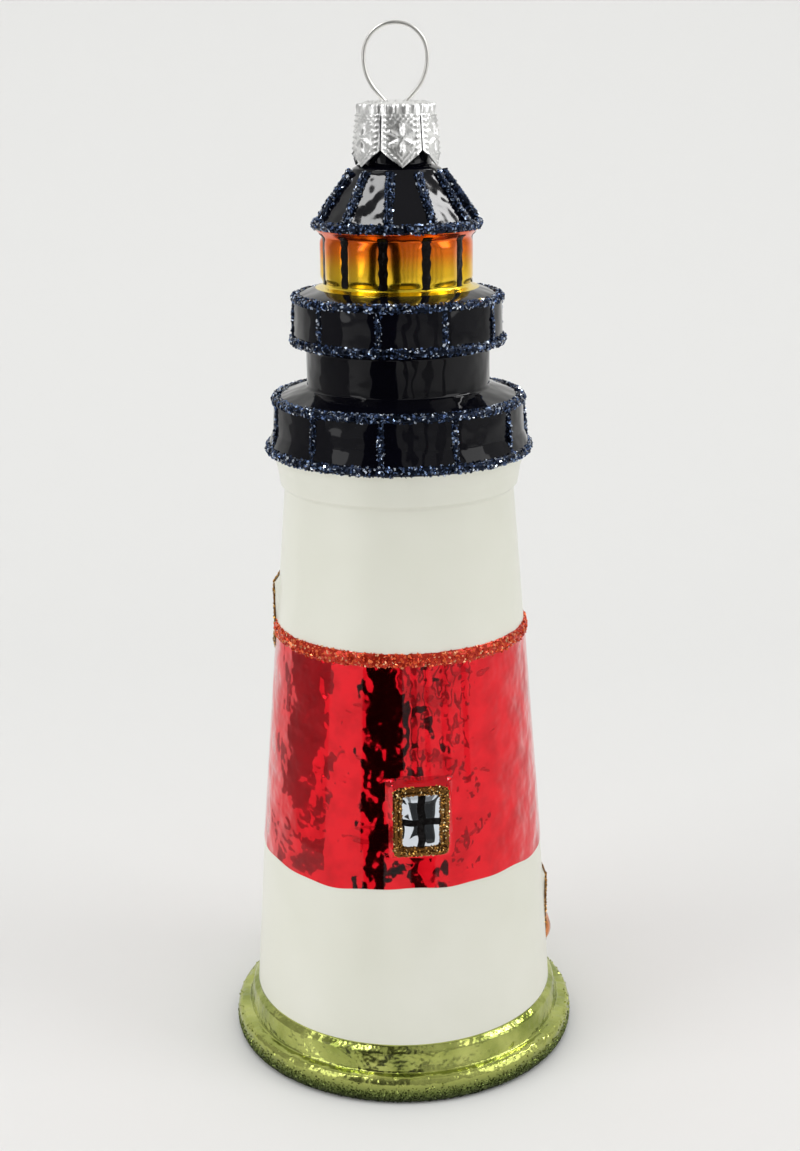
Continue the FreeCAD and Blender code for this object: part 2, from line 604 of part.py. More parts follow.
TIP = f"({CAP_TOP} - {cell('petal_length')})"
SLIT_TURN = f"{cell('petal_turn')} + 180 / {cell('petal_count')}"
slits = around("slit_boards", "petal_count", SLIT_TURN,
               lambda name, turn: slab(name, turn, cell("petal_slit"), f"{TIP} - 1",
                                       f"({CAP_TOP} - {cell('slit_stop')})"))
half_petal = f"({cell('cap_foot_radius')} * sin(180 / {cell('petal_count')}))"
notches = around("notch_plates", "petal_count", SLIT_TURN,
                 lambda name, turn: plate(name, turn, [(f"-{half_petal}", TIP, None),
                                                       (half_petal, TIP, None),
                                                       (0, f"({TIP} + {cell('petal_point')})", None)],
                                          NEAR, FAR))
holes = fused("hanger_holes", hanger_hole("hanger_hole_left", -1), hanger_hole("hanger_hole_right", 1))
nodes["crown_cap"] = cut("crown_cap", cut("slit_cap", cut("notched_cap", cap_sheet(), notches), slits), holes)


# ---------------------------------------------------------------- wire hanger
def hanger_path():
    """The bent wire's centre line: spring legs below, loop above, in the XZ plane."""
    wire_level = f"({CAP_TOP} - {cell('cap_sheet')} / 2)"
    half = [
        (f"{cell('leg_spread')} / 2", f"({wire_level} - {cell('leg_length')})", None),
        (f"{cell('hole_spacing')} / 2", wire_level, cell("leg_bend")),
        (f"{cell('loop_width')} / 2", f"({CAP_TOP} + {cell('loop_shoulder')})", cell("loop_side_round")),
        (f"{cell('loop_width')} / 2", f"({CAP_TOP} + {cell('loop_height')})", cell("loop_top_round")),
    ]
    corners = [(f"-({x})", y, bend) for x, y, bend in half] + half[::-1]
    spots = [FreeCAD.Vector(worth(x), worth(y), 0) for x, y, _ in corners]
    path = doc.addObject("Sketcher::SketchObject", "hanger_path")
    path.Placement = FreeCAD.Placement(FreeCAD.Vector(), FreeCAD.Rotation(0, 0, 90))
    path.addGeometry([Part.LineSegment(a, b) for a, b in zip(spots, spots[1:])])
    ends = [(0, 1)] + [(i, 2) for i in range(len(spots) - 1)]
    path.addConstraint([Sketcher.Constraint("Coincident", i, 2, i + 1, 1) for i in range(len(spots) - 2)])
    for k, ((x, y, _), (line, end), spot) in enumerate(zip(corners, ends, spots)):
        for axis, value, expression in (("X", spot.x, x), ("Y", spot.y, y)):
            index = path.addConstraint(Sketcher.Constraint(f"Distance{axis}", -1, 1, line, end, value))
            path.renameConstraint(index, f"bend{k}{axis}")
            path.setExpression(f"Constraints.bend{k}{axis}", expression)
    for k, (_, _, bend) in enumerate(corners):
        if bend is None:
            continue
        before = path.GeometryCount
        path.fillet(k, 1, worth(bend), True, True)
        arc = [g for g in range(before, path.GeometryCount)
               if path.Geometry[g].TypeId == "Part::GeomArcOfCircle"][0]
        index = path.addConstraint(Sketcher.Constraint("Radius", arc, worth(bend)))
        path.renameConstraint(index, f"round{k}")
        path.setExpression(f"Constraints.round{k}", bend)
    return path


path = hanger_path()
doc.recompute()
wire_end = doc.addObject("Part::Circle", "wire_end")
leg_reach = f"({cell('leg_spread')} - {cell('hole_spacing')}) / 2"
bind(wire_end, Radius=f"{cell('wire_diameter')} / 2",
     Placement=(f"placement(vector(-{cell('leg_spread')} / 2; 0; {CAP_TOP} - {cell('cap_sheet')} / 2"
                f" - {cell('leg_length')}); rotation(0; atan({leg_reach} / {cell('leg_length')}); 0))"))
wire = doc.addObject("Part::Sweep", "hanger_wire")
wire.Sections = [wire_end]
wire.Spine = (path, [f"Edge{k + 1}" for k in range(len(path.Shape.Edges))])
wire.Solid = True
nodes["hanger_wire"] = wire

# --------------------------------------------------------------------- export
doc.recompute()
for thing in doc.Objects:
    if "Invalid" in thing.State or "Error" in thing.State:
        raise RuntimeError(f"{thing.Name} did not build: {thing.State}")
os.makedirs("parts", exist_ok=True)
for name, thing in nodes.items():
    if thing.Shape.isNull() or not thing.Shape.isValid() or not thing.Shape.Solids:
        raise RuntimeError(f"{name} has no sound solid")
    thing.Label = name
    thing.Shape.exportStep(f"parts/{name}.step")
    print(f"{name}: {len(thing.Shape.Solids)} solid(s), {thing.Shape.Volume:.1f} mm3")
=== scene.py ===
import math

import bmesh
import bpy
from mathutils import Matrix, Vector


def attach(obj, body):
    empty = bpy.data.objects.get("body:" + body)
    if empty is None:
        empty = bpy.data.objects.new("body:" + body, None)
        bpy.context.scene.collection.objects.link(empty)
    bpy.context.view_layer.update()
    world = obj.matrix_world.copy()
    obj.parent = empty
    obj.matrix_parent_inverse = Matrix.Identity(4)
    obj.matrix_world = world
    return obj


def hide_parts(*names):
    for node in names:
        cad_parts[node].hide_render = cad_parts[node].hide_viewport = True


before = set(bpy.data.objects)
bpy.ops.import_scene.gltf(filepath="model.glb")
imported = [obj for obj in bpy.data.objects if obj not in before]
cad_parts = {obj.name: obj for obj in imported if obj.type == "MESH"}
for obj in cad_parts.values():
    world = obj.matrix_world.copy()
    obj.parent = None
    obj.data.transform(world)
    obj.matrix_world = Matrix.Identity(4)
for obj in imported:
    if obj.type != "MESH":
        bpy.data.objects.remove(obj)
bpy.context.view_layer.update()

# %% [markdown]
# # A blown-glass lighthouse
# The ornament is one piece of mouth-blown glass, silvered inside and painted outside. Lines of
# glitter are glued on the paint, a pressed metal cap sits on the neck, and a bent wire goes
# through the cap. The parts from the CAD model are already loaded, in metres, and every piece
# made here goes where its CAD part is. First comes the size of a millimetre in metres.

MM = 0.001

# %% [markdown]
# ## The outline of the glass
# A blown shape is round about its axis, so half of its outline says nearly everything. The
# corners below are in millimetres: distance from the axis, height, and how round the corner is.
# Every coat of colour is a stretch of this same outline, moved out by its thickness, which keeps
# the coats parallel.

# %% The outline's corners
FOOT_BARE = 0.35
RED_FOOT, RED_TOP = 37.0, 75.4
GREEN_TOP = 9.05
SOFFIT = 106.1
AMBER_FOOT = 133.0
EAVE, EAVE_TOP = 142.4, 143.3
ROOF_TOP, ROOF_BLACK_TOP = 151.7, 155.3
NECK_TOP = 161.6
LACQUER = 0.15
UNDERLAP = 0.02  # a coat starts this far inside the glass
GLASS_WALL, SILVER_FILM = 1.0, 0.15
SIDES = 11  # of the roof and of the lantern
TOWER = [
    (28.0, 0.0, 0), (30.0, 0.0, 2.0), (30.0, 4.6, 1.4), (27.9, 4.6, 0.6), (27.1, 8.0, 0.6),
    (26.2, 8.7, 0.45), (25.3, 22.0, 40), (24.4, 35.7, 60), (22.2, 62.0, 60), (19.05, 100.2, 0.7),
    (19.75, 100.8, 0.5), (20.15, 103.6, 3.0), (20.9, SOFFIT, 0), (21.55, SOFFIT, 0.3),
    (21.55, 107.3, 0.5), (20.75, 109.7, 2.0), (20.5, 115.0, 0.8), (14.95, 116.9, 0.8),
    (14.95, 123.6, 0.8), (17.1, 124.0, 0.5), (16.9, 131.5, 0.8), (11.9, 133.4, 0.9),
    (11.9, 141.2, 0.8), (13.1, EAVE, 0.3), (13.1, EAVE_TOP, 0.2), (12.95, EAVE_TOP, 0),
    (7.05, ROOF_TOP, 0.5), (5.4, 152.5, 0.6), (5.4, NECK_TOP, 0),
]


def rounded(corners, grow=0.0, steps=6):
    """The outline as points, moved out by grow, with an arc at each rounded corner."""
    spots = [Vector((r, z)) for r, z, _ in corners]
    runs = [(b - a).normalized() for a, b in zip(spots, spots[1:])]
    runs = [runs[0], *runs, runs[-1]]
    points = []
    for spot, (_, _, rounding), before, after in zip(spots, corners, runs, runs[1:]):
        out = Vector((before.y + after.y, -before.x - after.x)) / (1 + before.dot(after))
        middle = spot + out * grow
        turn = before.cross(after)
        radius = rounding + (grow if turn > 0 else -grow)
        if rounding == 0 or radius <= 0.05 or abs(turn) < 1e-4:
            points.append(middle)
            continue
        reach = radius * math.tan(before.angle(after) / 2)
        start, end = middle - before * reach, middle + after * reach
        for k in range(steps + 1):
            t = k / steps
            points.append(start.lerp(middle, t).lerp(middle.lerp(end, t), t))
    return points


def stretch(points, low, high, spacing=None):
    """The part of an upward outline between two heights, cut at them exactly."""
    kept = []
    for a, b in zip(points, points[1:]):
        if b.y < low or a.y > high:
            continue
        rise = b.y - a.y
        t0 = (low - a.y) / rise if a.y < low else 0.0
        t1 = (high - a.y) / rise if b.y > high else 1.0
        parts = max(1, round((b - a).length * (t1 - t0) / spacing)) if spacing else 1
        for k in range(parts + 1):
            point = a.lerp(b, t0 + (t1 - t0) * k / parts)
            if not kept or (point - kept[-1]).length > 1e-4:
                kept.append(point)
    return kept


print("outline points", len(rounded(TOWER)))

# %% [markdown]
# ## Turning an outline into a solid ring
# The spin operator turns a loop of edges about the axis, as a lathe would. A full turn has to
# merge its last ring with its first one, or a seam stays open. The number of steps is a multiple
# of eleven, because the roof and the lantern have eleven sides, and a side must start on a vertex.

# %% Helpers for meshes
TURN_STEPS = 264


def at(azimuth, r, z, across=0.0):
    """A point in metres: azimuth 0 is the front, and it grows to the right."""
    a = math.radians(azimuth)
    return Vector((r * math.sin(a) + across * math.cos(a), -r * math.cos(a) + across * math.sin(a), z)) * MM


def directions(azimuth):
    """Unit vectors away from the axis at an azimuth, and to the right as seen from outside."""
    a = math.radians(azimuth)
    return Vector((math.sin(a), -math.cos(a), 0)), Vector((math.cos(a), math.sin(a), 0))


def shift(bm, grown, move):
    """Moves the points that an extrusion has made."""
    bmesh.ops.translate(bm, verts=[v for v in grown if isinstance(v, bmesh.types.BMVert)], vec=move)


def spun(loop, azimuth=0.0):
    """A bmesh of a closed loop of outline points, turned all the way round."""
    bm = bmesh.new()
    verts = [bm.verts.new(at(azimuth, p.x, p.y)) for p in loop]
    edges = [bm.edges.new((a, b)) for a, b in zip(verts, verts[1:] + verts[:1])]
    bmesh.ops.spin(bm, geom=verts + edges, cent=(0, 0, 0), axis=(0, 0, 1), dvec=(0, 0, 0),
                   angle=math.tau, steps=TURN_STEPS, use_merge=True, use_duplicate=False)
    bmesh.ops.remove_doubles(bm, verts=bm.verts, dist=1e-7)
    bmesh.ops.recalc_face_normals(bm, faces=bm.faces)
    return bm


def band(low, high, outside=LACQUER, inside=-UNDERLAP, azimuth=0.0, spacing=None):
    """A closed ring between two heights, from an outer outline to an inner one."""
    outer = stretch(rounded(TOWER, outside), low, high, spacing)
    inner = stretch(rounded(TOWER, inside), low, high, spacing)
    return spun(outer + inner[::-1], azimuth)


def piece(name, bm, material, body="glass", stands_for=(), slot=None, smooth_angle=35):
    """Makes the object, shades it, and ties it to the frame."""
    mesh = bpy.data.meshes.new(name)
    bm.to_mesh(mesh)
    bm.free()
    made = bpy.data.objects.new(name, mesh)
    bpy.context.scene.collection.objects.link(made)
    mesh.materials.append(material)
    mesh.shade_smooth()
    mesh.set_sharp_from_angle(angle=math.radians(smooth_angle))
    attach(made, body)
    if stands_for:
        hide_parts(*stands_for)
    print(name, len(mesh.polygons), "faces")
    return made


def cad_piece(name, bm, material, **more):
    """A piece that takes the place of the CAD node of the same name."""
    return piece(name, bm, material, stands_for=(name,), slot=name, **more)


# %% [markdown]
# ## Raised windows
# A window is pressed out by the mould, so its face is plumb while the tower leans back. Each
# point of the tower's grid near a window is pushed out to the window's plane, and a soft bevel
# joins the two, as molten glass never makes a sharp corner. Where a plane lies inside the tower,
# no point moves. That is so at the foot of the side window and over most of the door: the coats
# cover those faces there.

# %% Windows pushed out of a grid
WINDOWS = {
    # azimuth, width, bottom, height, distance of the face from the axis
    "front": (7.2, 9.3, 43.0, 12.2, 24.3),
    "side": (-97.0, 9.0, 70.8, 12.9, 20.75),
    "door": (97.0, 9.6, 13.6, 15.0, 24.9),
}
BEVEL_SLOPE = 2.6
SOFTNESS = 0.14
PUSH_REACH = 4  # points further than this from a window stay where they are
STEEPEST = 30  # keeps the exponential small


def push_out(bm, window, outside=LACQUER):
    """Moves a coat's grid out to the face of a window or door, and keeps the coat's thickness."""
    skin = rounded(TOWER, outside)
    azimuth, width, bottom, height, face = WINDOWS[window]
    out, along = directions(azimuth)
    for v in bm.verts:
        depth = v.co.dot(out) / MM
        side = abs(v.co.dot(along) / MM) - width / 2
        up = v.co.z / MM
        over = max(bottom - up, up - bottom - height)
        if depth < 0 or side > PUSH_REACH or over > PUSH_REACH:
            continue
        away = math.hypot(max(side, 0), max(over, 0))
        surface = next(a.lerp(b, (up - a.y) / (b.y - a.y))
                       for a, b in zip(skin, skin[1:]) if a.y <= up < b.y)
        sunk = surface.x - math.hypot(v.co.x, v.co.y) / MM
        plane = face + LACQUER - BEVEL_SLOPE * away - sunk
        gap = (plane - depth) / SOFTNESS
        push = SOFTNESS * math.log1p(math.exp(min(gap, STEEPEST)))
        v.co += out * push * MM


# %% [markdown]
# ## The floor, the light and the camera
# The photograph was taken on a white sweep in soft daylight. The world gives an even light, and
# two large lamps at the sides give the long highlights. A lamp above lights without a highlight
# of its own, and two narrow ones give the roof its bright streaks. Mirrored glass also shows the
# dark room in front of it, so dark cards stand there. Only reflections see the cards.

# %% Camera
CAMERA_DISTANCE = 0.2857
CAMERA_HEIGHT = 0.1678
CAMERA_PITCH = 16.38
CAMERA_ROLL = 0.52
LONG_SIDE_PIXELS, FOCAL_PIXELS = 1151, 1742
SENSOR = 36.0
camera_data = bpy.data.cameras.new("camera")
camera_data.sensor_fit = "VERTICAL"
camera_data.sensor_height = SENSOR
camera_data.lens = FOCAL_PIXELS / LONG_SIDE_PIXELS * SENSOR
camera = bpy.data.objects.new("camera", camera_data)
tilt = Matrix.Rotation(math.radians(90 - CAMERA_PITCH), 4, "X")
roll = Matrix.Rotation(math.radians(-CAMERA_ROLL), 4, "Z")
camera.matrix_world = Matrix.Translation((0, -CAMERA_DISTANCE, CAMERA_HEIGHT)) @ (tilt @ roll)
bpy.context.scene.collection.objects.link(camera)
bpy.context.scene.camera = camera
bpy.context.scene.view_settings.view_transform = "Standard"
print("lens", round(camera_data.lens, 2))


# %% Sweep, cards and lamps
def plain(name, colour, roughness=0.9):
    """A simple matte material for the studio."""
    made = bpy.data.materials.new(name)
    made.use_nodes = True
    shader = made.node_tree.nodes["Principled BSDF"]
    shader.inputs["Base Color"].default_value = (*colour, 1)
    shader.inputs["Roughness"].default_value = roughness
    shader.inputs["Specular IOR Level"].default_value = 0.1
    return made


def staged(name, bm, material):
    """A piece of the studio, not of the ornament."""
    mesh = bpy.data.meshes.new(name)
    bm.to_mesh(mesh)
    bm.free()
    made = bpy.data.objects.new(name, mesh)
    mesh.materials.append(material)
    mesh.shade_smooth()
    bpy.context.scene.collection.objects.link(made)
    return made


bm = bmesh.new()
SWEEP_FRONT, SWEEP_START, SWEEP_ROUND, SWEEP_RISE, SWEEP_HALF = -2.0, 0.20, 0.25, 1.2, 1.5
SWEEP_STEPS = 12
profile = [Vector((0, SWEEP_FRONT, 0)), Vector((0, SWEEP_START, 0))]
for k in range(1, SWEEP_STEPS + 1):
    turn = math.radians(90) * k / SWEEP_STEPS
    back, up = SWEEP_START + SWEEP_ROUND * math.sin(turn), SWEEP_ROUND * (1 - math.cos(turn))
    profile.append(Vector((0, back, up)))
profile.append(Vector((0, SWEEP_START + SWEEP_ROUND, SWEEP_RISE)))
verts = [bm.verts.new(p - Vector((SWEEP_HALF, 0, 0))) for p in profile]
edges = [bm.edges.new(pair) for pair in zip(verts, verts[1:])]
grown = bmesh.ops.extrude_edge_only(bm, edges=edges)["geom"]
shift(bm, grown, (2 * SWEEP_HALF, 0, 0))
staged("sweep", bm, plain("pale_sweep", (0.785, 0.785, 0.777)))

CARD_DISTANCE, CARD_RISE, CARD_LID = 0.24, 0.42, 0.06
CARD_FLOOR = 1.0  # millimetres above the table
SHELVES = ((8, 13, 0.22), (19, 23, 0.26), (33, 40, 0.36), (52, 57, 0.30))  # left, right, darkness


def dark_card(name, left, right, near, darkness, rise=CARD_RISE, lid=CARD_LID):
    """A card bent round the front: a strip on the table, an upright, and a lid back to lid metres."""
    far = CARD_DISTANCE / MM
    line = [at(left, near / MM, CARD_FLOOR), at(left, far, CARD_FLOOR), at(left, far, rise / MM),
            at(left, lid / MM, rise / MM)]
    bm = bmesh.new()
    verts = [bm.verts.new(p) for p in line]
    edges = [bm.edges.new(pair) for pair in zip(verts, verts[1:])]
    bmesh.ops.spin(bm, geom=verts + edges, cent=(0, 0, 0), axis=(0, 0, 1), dvec=(0, 0, 0),
                   angle=math.radians(right - left), steps=24, use_merge=False, use_duplicate=False)
    card = staged(name, bm, plain(name, (darkness, darkness, darkness)))
    card.visible_camera = False
    card.visible_diffuse = False
    card.visible_shadow = False
    card.visible_transmission = False


dark_card("dark_room", -32, 1, 0.17, 0.004)
dark_card("dark_table_edge", -29, -14, 0.075, 0.004)
dark_card("dark_table_front", 6, 24, 0.085, 0.02, rise=0.004, lid=0.09)
for number, (left, right, darkness) in enumerate(SHELVES):
    dark_card(f"shelf_{number}", left, right, 0.22, darkness, rise=0.30, lid=0.22)
dark_card("dim_room_left", -112, -62, 0.14, 0.34, lid=0.23)

world = bpy.data.worlds.new("soft daylight")
world.use_nodes = True
bpy.context.scene.world = world
nodes, links = world.node_tree.nodes, world.node_tree.links
background = nodes["Background"]
background.inputs["Color"].default_value = (1.0, 1.0, 0.985, 1)
background.inputs["Strength"].default_value = 0.56


def lamp(name, place, target, width, height, watts):
    """A rectangular lamp, aimed at a target."""
    data = bpy.data.lights.new(name, "AREA")
    data.shape = "RECTANGLE"
    data.size, data.size_y = width, height
    data.energy = watts
    made = bpy.data.objects.new(name, data)
    aim = (Vector(target) - Vector(place)).to_track_quat("-Z", "Y")
    made.matrix_world = Matrix.Translation(place) @ aim.to_matrix().to_4x4()
    bpy.context.scene.collection.objects.link(made)
    return made


lamp("left_window", (-0.75, -0.35, 0.45), (0, 0, 0.09), 0.5, 0.8, 2.4)
lamp("right_window", (0.75, -0.25, 0.5), (0, 0, 0.09), 0.4, 0.8, 2.0)
top = lamp("top", (0.0, -0.1, 0.95), (0, 0, 0.05), 0.7, 0.6, 2.6)
top.visible_glossy = False
ROOF_MIDDLE = (0, 0, 0.147)
for name, place in (("skylight_left", (-0.43, -0.17, 0.86)), ("skylight_right", (0.605, 0.19, 0.71))):
    skylight = lamp(name, place, ROOF_MIDDLE, 0.07, 0.34, 1.5)
    skylight.visible_diffuse = False
print("studio ready")

# %% [markdown]
# ## Finishes
# Lacquer on silvered glass is a metal-like mirror tinted by its colour, so the red, the amber
# and the green are metallic shaders with a low roughness. The black and the white hide the
# silver and are ordinary gloss. Hand-dipped coats are never quite even: a slow noise bends each
# reflection a little, which gives the mottled look of the real one.


# %% Helpers for materials
def finish(name, colour, metallic=0.0, roughness=0.1, coat=0.0):
    """A Principled material with its plain values on its own sockets."""
    made = bpy.data.materials.new(name)
    made.use_nodes = True
    shader = made.node_tree.nodes["Principled BSDF"]
    shader.inputs["Base Color"].default_value = (*colour, 1)
    shader.inputs["Metallic"].default_value = metallic
    shader.inputs["Roughness"].default_value = roughness
    shader.inputs["Coat Weight"].default_value = coat
    shader.inputs["Coat Roughness"].default_value = 0.04
    return made, made.node_tree.nodes, made.node_tree.links, shader


def noise(nodes, links, scale, detail=2.0):
    """Noise on object coordinates, its scale in lumps per metre."""
    where = nodes.new("ShaderNodeTexCoord")
    mapping = nodes.new("ShaderNodeMapping")
    mapping.inputs["Scale"].default_value = (scale, scale, scale)
    links.new(where.outputs["Object"], mapping.inputs["Vector"])
    made = nodes.new("ShaderNodeTexNoise")
    made.inputs["Scale"].default_value = 1.0
    made.inputs["Detail"].default_value = detail
    links.new(mapping.outputs["Vector"], made.inputs["Vector"])
    return made.outputs["Fac"]


def ramp(nodes, links, factor, stops):
    """A colour ramp over a factor."""
    made = nodes.new("ShaderNodeValToRGB")
    elements = made.color_ramp.elements
    while len(elements) < len(stops):
        elements.new(0.5)
    for element, (place, colour) in zip(elements, stops):
        element.position = place
        element.color = (*colour, 1)
    links.new(factor, made.inputs["Fac"])
    return made.outputs["Color"]


def bump(nodes, links, shader, height, distance, strength=1.0, after=None):
    """Bends the surface by a height field, distance in metres."""
    made = nodes.new("ShaderNodeBump")
    made.inputs["Distance"].default_value = distance
    made.inputs["Strength"].default_value = strength
    links.new(height, made.inputs["Height"])
    if after:
        links.new(after, made.inputs["Normal"])
    links.new(made.outputs["Normal"], shader.inputs["Normal"])
    return made.outputs["Normal"]


def height_ramp(nodes, links, low, high, stops):
    """A colour that changes with height above the floor, in millimetres."""
    where = nodes.new("ShaderNodeTexCoord")
    split = nodes.new("ShaderNodeSeparateXYZ")
    links.new(where.outputs["Object"], split.inputs["Vector"])
    span = nodes.new("ShaderNodeMapRange")
    span.inputs["From Min"].default_value = low * MM
    span.inputs["From Max"].default_value = high * MM
    links.new(split.outputs["Z"], span.inputs["Value"])
    return ramp(nodes, links, span.outputs["Result"], stops)


# %% Lacquers
red_lacquer, nodes, links, shader = finish("red_mirror_lacquer", (0.80, 0.006, 0.014), 1.0, 0.09, 0.5)
tint = ramp(nodes, links, noise(nodes, links, 260, 3.0),
            [(0.30, (0.66, 0.004, 0.012)), (0.60, (0.88, 0.009, 0.020))])
links.new(tint, shader.inputs["Base Color"])
ripple = bump(nodes, links, shader, noise(nodes, links, 75, 2.0), 0.0021)
bump(nodes, links, shader, noise(nodes, links, 215, 2.0), 0.00065, after=ripple)

amber_lacquer, nodes, links, shader = finish("amber_mirror_lacquer", (0.9, 0.4, 0.03), 1.0, 0.20, 0.3)
links.new(height_ramp(nodes, links, 132.5, 142.2, [(0.0, (0.93, 0.72, 0.04)), (0.42, (0.95, 0.52, 0.02)),
                                                  (0.68, (0.90, 0.20, 0.008)), (1.0, (0.80, 0.09, 0.004))]),
          shader.inputs["Base Color"])
bump(nodes, links, shader, noise(nodes, links, 130, 1.5), 0.0007)

black_lacquer, nodes, links, shader = finish("black_lacquer", (0.002, 0.002, 0.004), 0.0, 0.06)
shader.inputs["Specular IOR Level"].default_value = 0.22
bump(nodes, links, shader, noise(nodes, links, 130, 2.0), 0.0005)

white_lacquer, nodes, links, shader = finish("pearl_white_lacquer", (0.80, 0.80, 0.71), 0.0, 0.36, 0.16)
links.new(ramp(nodes, links, noise(nodes, links, 45, 2.0),
               [(0.3, (0.775, 0.78, 0.68)), (0.7, (0.83, 0.83, 0.745))]),
          shader.inputs["Base Color"])
bump(nodes, links, shader, noise(nodes, links, 110, 2.0), 0.00025)

green_lacquer, nodes, links, shader = finish("green_gold_lacquer", (0.40, 0.46, 0.13), 0.95, 0.19, 0.25)
links.new(ramp(nodes, links, noise(nodes, links, 150, 3.0),
               [(0.3, (0.24, 0.29, 0.05)), (0.65, (0.53, 0.57, 0.16))]),
          shader.inputs["Base Color"])
bump(nodes, links, shader, noise(nodes, links, 200, 3.0), 0.0009)

# Painted shade: this green lacquer lies under the rim's flakes and is painted darker towards the bottom,
# where the rim curves under and away from the light.
rim_lacquer_painted_shade, nodes, links, shader = finish("green_lacquer_painted_shade_at_foot", (0.30, 0.34, 0.09), 0.9, 0.22)
links.new(height_ramp(nodes, links, 0.3, 4.0, [(0.0, (0.035, 0.045, 0.025)), (0.45, (0.15, 0.19, 0.05)),
                                               (1.0, (0.44, 0.48, 0.13))]), shader.inputs["Base Color"])
bump(nodes, links, shader, noise(nodes, links, 200, 3.0), 0.0009)

copper_lacquer, nodes, links, shader = finish("copper_lacquer", (0.72, 0.26, 0.09), 1.0, 0.16, 0.3)
bump(nodes, links, shader, noise(nodes, links, 300, 2.0), 0.0006)

brush_black, nodes, links, shader = finish("brushed_black_paint", (0.003, 0.002, 0.002), 0.0, 0.25)
shader.inputs["Specular IOR Level"].default_value = 0.15
bump(nodes, links, shader, noise(nodes, links, 500, 2.0), 0.0004)

mirror_glass, nodes, links, shader = finish("silvered_glass", (0.74, 0.79, 0.86), 1.0, 0.04, 0.6)
bump(nodes, links, shader, noise(nodes, links, 170, 1.0), 0.0009)

clear_glass, nodes, links, shader = finish("clear_glass", (0.93, 0.95, 0.95), 0.0, 0.02)
shader.inputs["Transmission Weight"].default_value = 0.9
shader.inputs["IOR"].default_value = 1.5

silver_film, nodes, links, shader = finish("silver_film", (0.86, 0.87, 0.88), 1.0, 0.06)
bump(nodes, links, shader, noise(nodes, links, 120, 2.0), 0.0005)

# %% [markdown]
# ## Coats of lacquer
# Each coat is a thin ring cut from the outline, and the red one is the thickest. The tower's coats
# get a fine grid, because the windows are pushed out of them and the red coat's lower edge is
# painted by hand: its bottom rows follow a slow wave.

# %% Glass and silver
glass = band(0.0, NECK_TOP, outside=-UNDERLAP, inside=-GLASS_WALL)
film = band(1.0, NECK_TOP - 1.0, outside=-(GLASS_WALL + UNDERLAP), inside=-(GLASS_WALL + SILVER_FILM))
# The roof's flat sides lie inside a round cone, so the round glass below them is drawn smaller.
for layer in (glass, film):
    for v in layer.verts:
        if EAVE_TOP - 0.1 < v.co.z / MM < ROOF_TOP + 0.4:
            v.co.xy *= math.cos(math.pi / SIDES)
cad_piece("glass_tower", glass, clear_glass)
cad_piece("silver_lining", film, silver_film)

# %% Foot: the dished disc that closes the bottom
foot_line = ((0.02, 1.2), (20.0, 0.0), (28.2, 0.0), (28.2, 1.0), (20.0, 1.0), (0.02, 2.2))
foot = spun([Vector(p) for p in foot_line])
piece("foot_glass", foot, silver_film)

# %% Tower coats
GRID = 0.42
RED_WAVE = 0.75


def hand_painted_edge(bm, foot, reach):
    """Moves the rows near a coat's lower edge up and down in a slow wave."""
    for v in bm.verts:
        a = math.atan2(v.co.x, -v.co.y)
        wave = 0.55 * math.sin(3 * a + 0.6) + 0.3 * math.sin(7 * a + 2.0) + 0.15 * math.sin(16 * a)
        near = max(0.0, 1 - (v.co.z / MM - foot) / reach)
        v.co.z += (wave - 0.35) * RED_WAVE * near * MM


lower_white = band(GREEN_TOP, RED_FOOT + 1.2, spacing=GRID)
push_out(lower_white, "door")
cad_piece("lower_white_lacquer", lower_white, white_lacquer)

RED_COAT = LACQUER + 0.12
red = band(RED_FOOT, RED_TOP, outside=RED_COAT, spacing=GRID)
push_out(red, "front", RED_COAT)
push_out(red, "side", RED_COAT)
hand_painted_edge(red, RED_FOOT, 5.0)
cad_piece("red_band_lacquer", red, red_lacquer)

upper_white = band(RED_TOP, SOFFIT, spacing=GRID)
push_out(upper_white, "side")
cad_piece("upper_white_lacquer", upper_white, white_lacquer)

green = band(FOOT_BARE, GREEN_TOP, spacing=GRID)
cad_piece("base_green_lacquer", green, green_lacquer)

gallery = band(SOFFIT, AMBER_FOOT)
cad_piece("gallery_black_lacquer", gallery, black_lacquer)

# %% [markdown]
# ## Lantern and roof
# The lantern bulges between eleven upright valleys, and the roof has eleven flat sides. Both
# start as plain rings. A point's distance from the axis is then scaled by where it is between
# two valleys or ridges.

# %% Lantern
PANE_TURN, RIB_TURN = 5.8, 9.9
LANTERN_FOOT, LANTERN_TOP = 133.4, 141.2
VALLEY_RADIUS, PANE_RADIUS = 11.95, 12.45
VALLEY_SINK = 0.25


def from_middle(co, turn):
    """-1 to 1 across the side that a point is on, 0 in its middle."""
    azimuth = math.degrees(math.atan2(co.x, -co.y))
    return 2 * (((azimuth - turn) * SIDES / 360 + 0.5) % 1.0 - 0.5)


def smooth(t):
    """An even step from 0 to 1."""
    t = max(0.0, min(1.0, t))
    return t * t * (3 - 2 * t)


lantern = band(AMBER_FOOT, EAVE, azimuth=PANE_TURN, spacing=0.4)
for v in lantern.verts:
    up = v.co.z / MM
    inside_panes = smooth((up - LANTERN_FOOT - 0.1) / 1.6) * smooth((LANTERN_TOP + 0.5 - up) / 1.6)
    middle = 1 - abs(from_middle(v.co, PANE_TURN)) ** 2.4
    bulge = (PANE_RADIUS - VALLEY_RADIUS + VALLEY_SINK) * middle - VALLEY_SINK
    r = math.hypot(v.co.x, v.co.y) / MM
    v.co.xy *= 1 + bulge * inside_panes / r
cad_piece("lantern_amber_lacquer", lantern, amber_lacquer)

